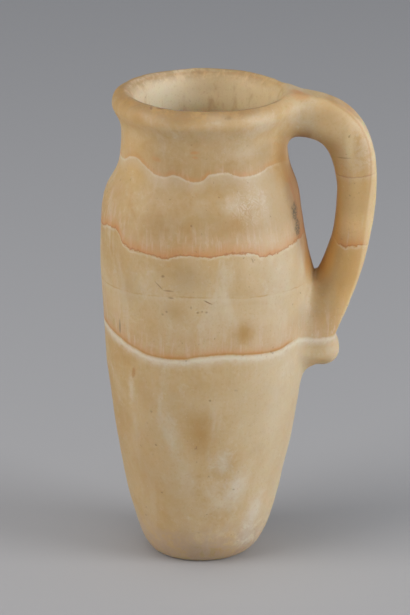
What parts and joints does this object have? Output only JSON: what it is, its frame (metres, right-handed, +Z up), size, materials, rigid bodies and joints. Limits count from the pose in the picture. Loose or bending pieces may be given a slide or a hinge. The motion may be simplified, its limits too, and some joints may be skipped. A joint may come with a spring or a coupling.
{
  "type": "alabaster pitcher",
  "caption": "Tall alabaster pitcher carved from one block: tapering body, round shoulder, short neck, thick rolled rim, and a loop handle that ends in a blunt lug.",
  "frame": {"origin": "on the flat resting face, under the middle of the body", "axes": "+Z up along the body, +X from the body's middle towards the handle, +Y across the handle"},
  "size_m": [0.1142, 0.0856, 0.2],
  "materials": {
    "alabaster": "satin, worn smooth, translucent honey colour with wavy white and orange bands"
  },
  "bodies": {
    "root": {"pitcher": "alabaster"}
  },
  "joints": []
}
